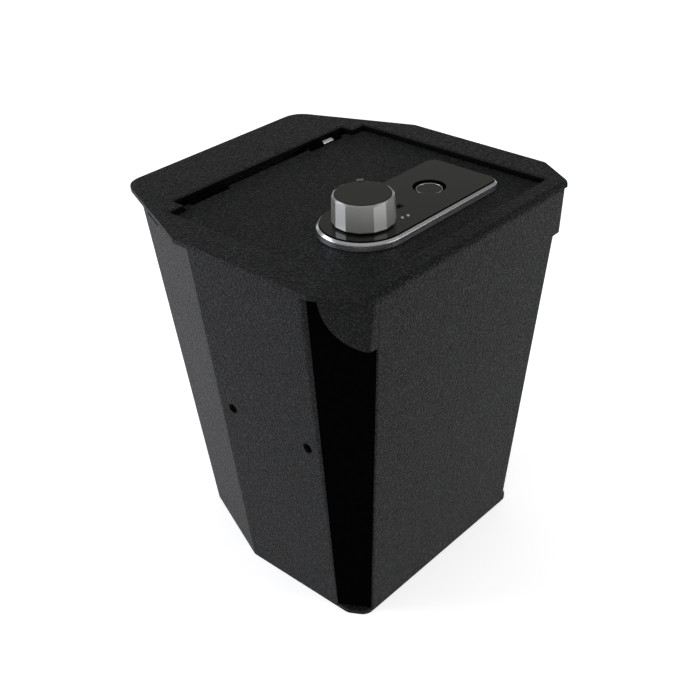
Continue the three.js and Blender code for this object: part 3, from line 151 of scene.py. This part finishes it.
def seen_rays(tree):
    """1 for the rays that see the backdrop itself: camera, glossy and transmission."""
    path = tree.nodes.new("ShaderNodeLightPath")
    total = path.outputs["Is Camera Ray"]
    for name in ("Is Glossy Ray", "Is Transmission Ray"):
        either = tree.nodes.new("ShaderNodeMath")
        either.operation = "MAXIMUM"
        tree.links.new(total, either.inputs[0])
        tree.links.new(path.outputs[name], either.inputs[1])
        total = either.outputs[0]
    return total


def mixed(tree, factor, first, second):
    """The first shader where the factor is 0, the second where it is 1."""
    mix = tree.nodes.new("ShaderNodeMixShader")
    tree.links.new(factor, mix.inputs["Fac"])
    tree.links.new(first.outputs[0], mix.inputs[1])
    tree.links.new(second.outputs[0], mix.inputs[2])
    return mix


def room_color(tree):
    """The bands of the room, by how high a direction points."""
    place = tree.nodes.new("ShaderNodeTexCoord")
    axes = tree.nodes.new("ShaderNodeSeparateXYZ")
    bands = tree.nodes.new("ShaderNodeValToRGB")
    fill_ramp(bands.color_ramp, ROOM_BANDS)
    tree.links.new(place.outputs["Generated"], axes.inputs[0])
    tree.links.new(axes.outputs["Z"], bands.inputs["Fac"])
    return bands.outputs["Color"]


def make_world():
    """Even soft light; seen in gloss, a white horizon and grey ceiling with a dimmer band between."""
    world = bpy.data.worlds.new("studio")
    bpy.context.scene.world = world
    world.use_nodes = True
    tree = world.node_tree
    tree.nodes.clear()
    output = tree.nodes.new("ShaderNodeOutputWorld")
    white = tree.nodes.new("ShaderNodeBackground")
    white.inputs["Color"].default_value = (*WHITE, 1)
    light = tree.nodes.new("ShaderNodeBackground")
    light.inputs["Color"].default_value = (*WORLD_COLOR, 1)
    light.inputs["Strength"].default_value = WORLD_LIGHT
    room = tree.nodes.new("ShaderNodeBackground")
    tree.links.new(room_color(tree), room.inputs["Color"])
    path = tree.nodes.new("ShaderNodeLightPath")
    backdrop = mixed(tree, path.outputs["Is Glossy Ray"], white, room)
    whole = mixed(tree, seen_rays(tree), light, backdrop)
    tree.links.new(whole.outputs[0], output.inputs["Surface"])


def make_floor():
    """Pale floor that is brighter to the eye than in its light on the object, and keeps the shadow."""
    bpy.ops.mesh.primitive_grid_add(x_subdivisions=FLOOR_CELLS, y_subdivisions=FLOOR_CELLS, size=FLOOR_SIZE)
    floor = bpy.context.object
    floor.name = "floor"
    material = bpy.data.materials.new("studio_floor")
    material.use_nodes = True
    tree = material.node_tree
    tree.nodes.clear()
    output = tree.nodes.new("ShaderNodeOutputMaterial")
    plain = tree.nodes.new("ShaderNodeBsdfDiffuse")
    plain.inputs["Color"].default_value = (*FLOOR_COLOR, 1)
    glow = tree.nodes.new("ShaderNodeEmission")
    glow.inputs["Strength"].default_value = FLOOR_GLOW
    both = tree.nodes.new("ShaderNodeAddShader")
    tree.links.new(plain.outputs[0], both.inputs[0])
    tree.links.new(glow.outputs[0], both.inputs[1])
    whole = mixed(tree, seen_rays(tree), plain, both)
    tree.links.new(whole.outputs[0], output.inputs["Surface"])
    floor.data.materials.append(material)


def area_light(name, place, width, watts, color):
    data = bpy.data.lights.new(name, "AREA")
    data.shape = "RECTANGLE"
    data.size = width
    data.size_y = width
    data.energy = watts
    data.color = color
    lamp = bpy.data.objects.new(name, data)
    lamp.location = place
    lamp.rotation_mode = "QUATERNION"
    lamp.rotation_quaternion = (Vector(LIGHT_TARGET) - Vector(place)).to_track_quat("-Z", "Y")
    bpy.context.scene.collection.objects.link(lamp)


# Materials

def grey(value):
    return (value, value, value)


def scaled(color, factor):
    return tuple(factor * channel for channel in color)


def fill_ramp(ramp, stops):
    """stops: (position, colour), in rising order."""
    while len(ramp.elements) < len(stops):
        ramp.elements.new(0.5)
    for element, (position, color) in zip(ramp.elements, stops):
        element.position = position
        element.color = (*color, 1)


class Shader:
    """A Principled material with helpers that feed its sockets from procedural textures."""

    def __init__(self, name, color, roughness, metallic=0.0, specular=0.5):
        self.material = bpy.data.materials.new(name)
        self.material.use_nodes = True
        self.tree = self.material.node_tree
        self.surface = self.tree.nodes["Principled BSDF"]
        self.set("Base Color", (*color, 1))
        self.set("Roughness", roughness)
        self.set("Metallic", metallic)
        self.set("Specular IOR Level", specular)
        place = self.tree.nodes.new("ShaderNodeTexCoord")
        self.place = place.outputs["Object"]

    def set(self, socket, value):
        self.surface.inputs[socket].default_value = value

    def node(self, kind, **inputs):
        made = self.tree.nodes.new(kind)
        for key, value in inputs.items():
            made.inputs[key.replace("_", " ")].default_value = value
        return made

    def link(self, source, target):
        self.tree.links.new(source, target)

    def noise(self, size, detail=3.0, roughness=0.55, stretch=None):
        """Noise whose lumps are about size metres across."""
        made = self.node("ShaderNodeTexNoise", Scale=1 / size, Detail=detail, Roughness=roughness)
        place = self.place
        if stretch:
            mapping = self.node("ShaderNodeMapping", Scale=stretch)
            self.link(self.place, mapping.inputs["Vector"])
            place = mapping.outputs[0]
        self.link(place, made.inputs["Vector"])
        return made.outputs["Fac"]

    def ramp(self, factor, stops):
        made = self.node("ShaderNodeValToRGB")
        fill_ramp(made.color_ramp, stops)
        self.link(factor, made.inputs["Fac"])
        return made.outputs["Color"]

    def color(self, factor, low, high, start=0.35, end=0.65):
        """Colour that runs from low to high between two levels of the factor."""
        self.link(self.ramp(factor, [(start, low), (end, high)]), self.surface.inputs["Base Color"])

    def roughness(self, factor, low, high, start=0.3, end=0.7):
        source = self.ramp(factor, [(start, grey(low)), (end, grey(high))])
        self.link(source, self.surface.inputs["Roughness"])

    def bump(self, layers):
        """layers: (height source, depth in metres), finest last."""
        previous = None
        for source, depth in layers:
            made = self.node("ShaderNodeBump", Strength=1.0, Distance=depth)
            self.link(source, made.inputs["Height"])
            if previous:
                self.link(previous, made.inputs["Normal"])
            previous = made.outputs["Normal"]
        self.link(previous, self.surface.inputs["Normal"])


def powder_coat(name, dark, light):
    """Sandy textured powder coat: a fine pebble, with painted shade in its pits and a painted highlight on
    its crests.
    """
    pebble = 1.1 * MM
    pebble_depth = 1.5 * MM
    wave = 3.5 * MM
    wave_depth = 0.1 * MM
    pit_shade = 0.3
    cool = (0.95, 1, 1.06)
    shader = Shader(name, grey(dark), 0.55, specular=0.1)
    grain = shader.noise(pebble, detail=1.5, roughness=0.6)
    # Painted shade in the pits and painted highlight on the crests, following the same grain as the bump
    grain_shade_and_highlight = shader.ramp(grain, [
        (0.36, scaled(cool, dark * pit_shade)),
        (0.52, scaled(cool, dark)),
        (0.68, scaled(cool, light)),
    ])
    shader.link(grain_shade_and_highlight, shader.surface.inputs["Base Color"])
    shader.roughness(grain, 0.6, 0.44, start=0.35, end=0.65)
    shader.bump([(shader.noise(wave, detail=2.0), wave_depth), (grain, pebble_depth)])
    return shader.material


def satin_black(name, shade):
    shader = Shader(name, grey(shade), 0.35, specular=0.0)
    shader.color(shader.noise(5 * MM), grey(shade * 0.75), grey(shade), start=0.3, end=0.7)
    shader.bump([(shader.noise(1.2 * MM), 0.02 * MM)])
    return shader.material


def gloss_panel(name, color, specular, roughness):
    shader = Shader(name, color, roughness, specular=specular)
    shader.roughness(shader.noise(30 * MM), roughness * 0.8, roughness * 1.3)
    shader.bump([(shader.noise(25 * MM, detail=1.0), 0.004 * MM)])
    return shader.material


def metal(name, color, low, high, grain, stretch=None, dirt=0.85, depth=0.01 * MM, brushed=0.0):
    """Metal with fine streaks: roughness runs from low to high with the grain."""
    stain = grain * 6
    shader = Shader(name, color, low, metallic=1.0)
    shader.set("Anisotropic", brushed)
    shader.set("Anisotropic Rotation", 0.25)
    streaks = shader.noise(grain, detail=4.0, stretch=stretch)
    shader.roughness(streaks, low, high)
    shader.color(shader.noise(stain), scaled(color, dirt), color)
    shader.bump([(streaks, depth)])
    return shader.material


def matt(name, dark, light, grain, depth, roughness=0.7, specular=0.3):
    """Surface without streaks: mottled in colour, its roughness varied in larger patches."""
    patch = grain * 8
    shader = Shader(name, dark, roughness, specular=specular)
    shader.color(shader.noise(grain, detail=4.0, roughness=0.65), dark, light, end=0.68)
    shader.roughness(shader.noise(patch), roughness * 0.9, min(roughness * 1.1, 1))
    shader.bump([(shader.noise(grain * 0.8), depth)])
    return shader.material


def circuit_green(name):
    """Solder mask with copper traces under it."""
    shader = Shader(name, (0.012, 0.08, 0.035), 0.35)
    traces = shader.node(
        "ShaderNodeTexBrick",
        Scale=260.0,
        Color1=(0.008, 0.06, 0.026, 1),
        Color2=(0.012, 0.08, 0.034, 1),
        Mortar=(0.03, 0.16, 0.06, 1),
        Mortar_Size=0.06,
    )
    shader.link(shader.place, traces.inputs["Vector"])
    shader.link(traces.outputs["Color"], shader.surface.inputs["Base Color"])
    shader.bump([(traces.outputs["Fac"], 0.02 * MM), (shader.noise(4 * MM), 0.01 * MM)])
    return shader.material


# Maker and values of each slot's material, and of the look that paints shade on the cut edges of the
# flange's opening
LOOKS = {
    "textured_black": (powder_coat, {"dark": 0.009, "light": 0.03}),
    # smooth_black: near black without gloss; on the corner posts it is painted shade for faces that lie in
    # deep shadow
    "smooth_black": (satin_black, {"shade": 0.002}),
    "edge_black": (satin_black, {"shade": 0.006}),
    "zinc_steel": (metal, {
        "color": (0.52, 0.53, 0.52), "low": 0.28, "high": 0.45, "grain": 1.5 * MM, "dirt": 0.8,
    }),
    "pin_steel": (metal, {
        "color": (0.74, 0.74, 0.75), "low": 0.18, "high": 0.3, "grain": 0.6 * MM, "stretch": (0.1, 1, 1),
    }),
    "satin_silver": (metal, {
        "color": (0.60, 0.60, 0.63), "low": 0.18, "high": 0.24, "grain": 0.3 * MM, "dirt": 0.96,
        "depth": 0.002 * MM,
    }),
    "knob_chrome": (metal, {
        "color": (0.46, 0.46, 0.45), "low": 0.38, "high": 0.44, "grain": 0.3 * MM, "dirt": 0.98,
        "stretch": (0.1, 0.1, 1), "depth": 0.001 * MM, "brushed": 0.8,
    }),
    "gloss_black": (gloss_panel, {"color": (0.004, 0.004, 0.0035), "specular": 0.5, "roughness": 0.08}),
    "matt_black": (matt, {
        "dark": grey(0.012), "light": grey(0.02), "grain": 0.5 * MM, "depth": 0.03 * MM,
    }),
    "bush_brass": (metal, {"color": (0.62, 0.42, 0.14), "low": 0.22, "high": 0.34, "grain": 0.4 * MM}),
    "board_green": (circuit_green, {}),
    "felt_grey": (matt, {
        "dark": grey(0.014), "light": grey(0.045), "grain": 0.35 * MM, "depth": 0.35 * MM,
        "roughness": 0.95, "specular": 0.1,
    }),
    "rubber_black": (matt, {
        "dark": grey(0.008), "light": grey(0.014), "grain": 0.7 * MM, "depth": 0.03 * MM, "roughness": 0.8,
    }),
    "cell_blue": (matt, {
        "dark": (0.03, 0.08, 0.18), "light": (0.04, 0.1, 0.22), "grain": 3 * MM, "depth": 0.005 * MM,
        "roughness": 0.35, "specular": 0.5,
    }),
    "lamp_white": (matt, {
        "dark": grey(0.62), "light": grey(0.7), "grain": 1 * MM, "depth": 0.005 * MM,
        "roughness": 0.3, "specular": 0.5,
    }),
}
looks = {name: make(name, **values) for name, (make, values) in LOOKS.items()}


# Pieces

def dress(node):
    """The CAD solid stays and takes its slot's material."""
    data = nodes[node].data
    data.materials.clear()
    data.materials.append(looks[slot_of[node]])


def merged_copy(node, name):
    """A copy of the solid's mesh with its triangles merged into whole flats."""
    mesh = bpy.data.meshes.new(name)
    form = bmesh.new()
    form.from_mesh(nodes[node].data)
    bmesh.ops.remove_doubles(form, verts=form.verts, dist=WELD)
    bmesh.ops.dissolve_limit(
        form,
        angle_limit=math.radians(FLAT_ANGLE),
        verts=form.verts,
        edges=form.edges,
        use_dissolve_boundaries=False,
    )
    for face in form.faces:
        face.smooth = True
    form.to_mesh(mesh)
    form.free()
    return mesh


def broken_edges(node, name, width, segments=2, angle=SHARP_ANGLE):
    """A piece that stands for the node, with every sharp edge rounded to width metres."""
    piece = bpy.data.objects.new(name, merged_copy(node, name))
    bpy.context.scene.collection.objects.link(piece)
    bevel = piece.modifiers.new("edges", "BEVEL")
    bevel.width = width
    bevel.segments = segments
    bevel.limit_method = "ANGLE"
    bevel.angle_limit = math.radians(angle)
    bevel.use_clamp_overlap = True
    flats = piece.modifiers.new("flats", "WEIGHTED_NORMAL")
    flats.weight = FLAT_WEIGHT
    flats.keep_sharp = False
    piece.data.materials.clear()
    piece.data.materials.append(looks[slot_of[node]])
    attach(piece, body_of[node])
    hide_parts(node)
    return piece


def paint_shade_on_steep(piece, look, low, high, steepness):
    """The steep faces between the two corners take a darker look: painted shade."""
    piece.data.materials.append(looks[look])
    for face in piece.data.polygons:
        inside = all(low[i] < face.center[i] < high[i] for i in range(3))
        if inside and abs(face.normal.z) < steepness:
            face.material_index = 1


def opening_box():
    """Corners of the box that holds the cut edges of the flange's opening."""
    lid_low, lid_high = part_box("lid_plate")
    flange_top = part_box("top_shell")[1][2]
    low = (lid_low[0] - OPENING_GAP, lid_low[1] - OPENING_GAP, lid_high[2] - CUT_BELOW)
    high = (lid_high[0] + OPENING_GAP, lid_high[1] + NOTCH_DEPTH, flange_top - CUT_ABOVE)
    return low, high


def make_pieces():
    """The rounded pieces, by the node that each stands for."""
    made = {node: broken_edges(node, f"{node}_steel", width) for node, width in SHEET_EDGES.items()}
    # Painted shade on the steep cut edges of the flange's opening, where the lid's recess lies in shade
    paint_shade_on_steep(made["top_shell"], "edge_black", *opening_box(), CUT_STEEPNESS)
    made["lock_bezel"] = broken_edges("lock_bezel", "lock_bezel_ring", BEZEL_EDGE, 3, FACET_ANGLE)
    made["lock_face"] = broken_edges("lock_face", "lock_face_panel", FACE_EDGE)
    # Painted shade: the lock face's sides, holes and sloping dish are near black without gloss
    paint_shade_on_steep(made["lock_face"], "smooth_black", *cad_box, FACE_STEEPNESS)
    made["reader_ring"] = broken_edges("reader_ring", "reader_ring_round", RING_EDGE, 3)
    made["knob_shell"] = broken_edges("knob_shell", "knob_shell_body", KNOB_EDGE, angle=FACET_ANGLE)
    made["floor_mat"] = broken_edges("floor_mat", "floor_mat_felt", MAT_EDGE, 4)
    return made


pieces = make_pieces()
for node in nodes:
    if node not in pieces:
        dress(node)

bpy.context.scene.view_settings.view_transform = "Standard"
make_camera()
make_world()
make_floor()
for light_name, light in LIGHTS.items():
    area_light(light_name, **light)
